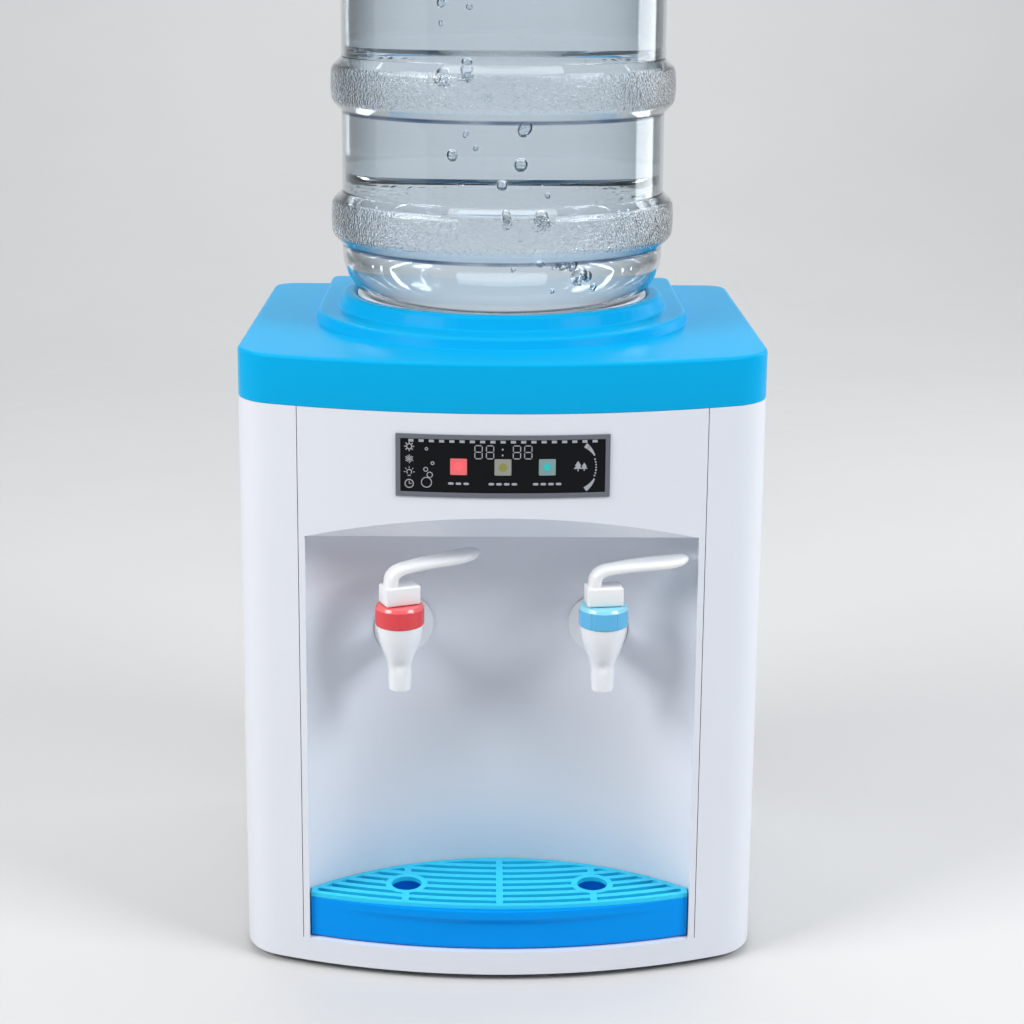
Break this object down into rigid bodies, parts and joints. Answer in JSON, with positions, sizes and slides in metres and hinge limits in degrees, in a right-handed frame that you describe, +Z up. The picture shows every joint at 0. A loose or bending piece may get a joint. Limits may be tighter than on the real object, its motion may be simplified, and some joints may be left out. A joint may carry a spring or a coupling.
{
  "type": "countertop water dispenser",
  "caption": "Countertop water dispenser: inverted bottle on a funnel seat, hot and cold lever taps in a bay, status display and lift-out drip tray.",
  "frame": {"origin": "on the worktop, under the middle of the cabinet", "axes": "+Z up; -Y is the front with the taps; +X to the right as seen from the front"},
  "size_m": [0.3, 0.2768, 0.644],
  "materials": {
    "white_abs": "gloss",
    "blue_cover": "gloss",
    "rear_white": "matte",
    "base_grey": "matte",
    "foot_rubber": "matte",
    "screw_steel": "satin",
    "seat_white": "satin",
    "seal_rubber": "matte",
    "reservoir_plastic": "satin",
    "foam": "matte",
    "tank_steel": "satin",
    "heater_brass": "satin",
    "black_plastic": "satin",
    "aluminium": "satin",
    "ceramic": "matte",
    "circuit_board": "satin",
    "transformer": "satin",
    "led_red": "gloss",
    "bezel_grey": "satin",
    "display_black": "gloss",
    "window": "gloss",
    "silicone_hose": "satin",
    "fitting_white": "satin",
    "rocker_red": "gloss",
    "rocker_green": "gloss",
    "tray_blue": "gloss",
    "grille_cyan": "gloss",
    "bottle_clear": "gloss",
    "bottle_cap": "satin",
    "tap_white": "gloss",
    "hot_red": "gloss",
    "cold_blue": "gloss",
    "spring_steel": "satin",
    "stem_white": "satin",
    "lever_white": "gloss"
  },
  "bodies": {
    "cabinet": {"outer_shell": "white_abs", "front_fascia": "white_abs", "top_cover": "blue_cover", "rear_panel": "rear_white", "base_pan": "base_grey", "feet": "foot_rubber", "base_screws": "screw_steel", "rear_panel_screws": "screw_steel", "bottle_seat": "seat_white", "seat_gasket": "seal_rubber", "feed_probe": "seat_white", "reservoir": "reservoir_plastic", "reservoir_foam": "foam", "hot_tank": "tank_steel", "heater_band": "heater_brass", "hot_tank_jacket": "foam", "thermostats": "black_plastic", "cold_plate": "aluminium", "peltier_module": "ceramic", "heatsink": "aluminium", "fan_frame": "black_plastic", "power_board": "circuit_board", "transformer": "transformer", "display_board": "circuit_board", "indicator_leds": "led_red", "display_bezel": "bezel_grey", "display_panel": "display_black", "indicator_windows": "window", "hot_hose": "silicone_hose", "cold_hose": "silicone_hose", "supply_hose": "silicone_hose", "drain_hose": "silicone_hose", "drain_outlet": "fitting_white", "cord_gland": "black_plastic", "switch_housings": "black_plastic", "tap_flanges": "tap_white", "tap_nuts": "fitting_white", "hot_tap_body": "tap_white", "hot_tap_cap": "hot_red", "hot_spring": "spring_steel", "cold_tap_body": "tap_white", "cold_tap_cap": "cold_blue", "cold_spring": "spring_steel"},
    "bottle": {"bottle": "bottle_clear", "bottle_cap": "bottle_cap"},
    "drip_tray": {"drip_tray": "tray_blue"},
    "drip_grille": {"drip_grille": "grille_cyan"},
    "fan_rotor": {"fan_rotor": "black_plastic"},
    "heat_rocker": {"heat_switch_rocker": "rocker_red"},
    "cool_rocker": {"cool_switch_rocker": "rocker_green"},
    "drain_cap": {"drain_cap": "fitting_white"},
    "hot_seal": {"hot_seal": "silicone_hose"},
    "hot_stem": {"hot_stem": "stem_white", "hot_pin": "spring_steel"},
    "hot_lever": {"hot_lever": "lever_white"},
    "cold_seal": {"cold_seal": "silicone_hose"},
    "cold_stem": {"cold_stem": "stem_white", "cold_pin": "spring_steel"},
    "cold_lever": {"cold_lever": "lever_white"}
  },
  "joints": [
    {"name": "bottle_lift", "type": "slide", "parent": "cabinet", "child": "bottle", "axis": [0, 0, 1], "range_m": [0, 0.12]},
    {"name": "tray_slide", "type": "slide", "parent": "cabinet", "child": "drip_tray", "axis": [0, -1, 0], "range_m": [0, 0.08]},
    {"name": "grille_lift", "type": "slide", "parent": "drip_tray", "child": "drip_grille", "axis": [0, 0, 1], "range_m": [0, 0.03]},
    {"name": "fan_spin", "type": "hinge", "parent": "cabinet", "child": "fan_rotor", "pos_m": [0, 0.12, 0.255], "axis": [0, 1, 0], "continuous": true},
    {"name": "heat_switch_rock", "type": "hinge", "parent": "cabinet", "child": "heat_rocker", "pos_m": [0.07, 0.1315, 0.118], "axis": [1, 0, 0], "range_deg": [0, 20]},
    {"name": "cool_switch_rock", "type": "hinge", "parent": "cabinet", "child": "cool_rocker", "pos_m": [0.07, 0.1315, 0.09], "axis": [1, 0, 0], "range_deg": [0, 20]},
    {"name": "drain_cap_pull", "type": "slide", "parent": "cabinet", "child": "drain_cap", "axis": [0, 1, 0], "range_m": [0, 0.02]},
    {"name": "hot_lift", "type": "slide", "parent": "cabinet", "child": "hot_seal", "axis": [0, 0, 1], "range_m": [0, 0.0036], "deforming": ["hot_spring"]},
    {"name": "hot_swivel", "type": "hinge", "parent": "hot_seal", "child": "hot_stem", "pos_m": [-0.0573, -0.1243, 0.2], "axis": [0, 0, 1], "range_deg": [-203, 35]},
    {"name": "hot_press", "type": "hinge", "parent": "hot_stem", "child": "hot_lever", "pos_m": [-0.0573, -0.1243, 0.229], "axis": [-0.3907, 0.9205, 0], "range_deg": [0, 20], "stiffness_Nm_per_rad": 0.4, "springref_deg": -8.59},
    {"name": "cold_lift", "type": "slide", "parent": "cabinet", "child": "cold_seal", "axis": [0, 0, 1], "range_m": [0, 0.0036], "deforming": ["cold_spring"]},
    {"name": "cold_swivel", "type": "hinge", "parent": "cold_seal", "child": "cold_stem", "pos_m": [0.0573, -0.1243, 0.2], "axis": [0, 0, 1], "range_deg": [-188, 3]},
    {"name": "cold_press", "type": "hinge", "parent": "cold_stem", "child": "cold_lever", "pos_m": [0.0573, -0.1243, 0.229], "axis": [-0.1392, 0.9903, 0], "range_deg": [0, 20], "stiffness_Nm_per_rad": 0.4, "springref_deg": -8.59}
  ],
  "couplings": [
    {"joint": "hot_press", "follows": "hot_lift", "rad_per_m": 96.96},
    {"joint": "cold_press", "follows": "cold_lift", "rad_per_m": 96.96}
  ]
}
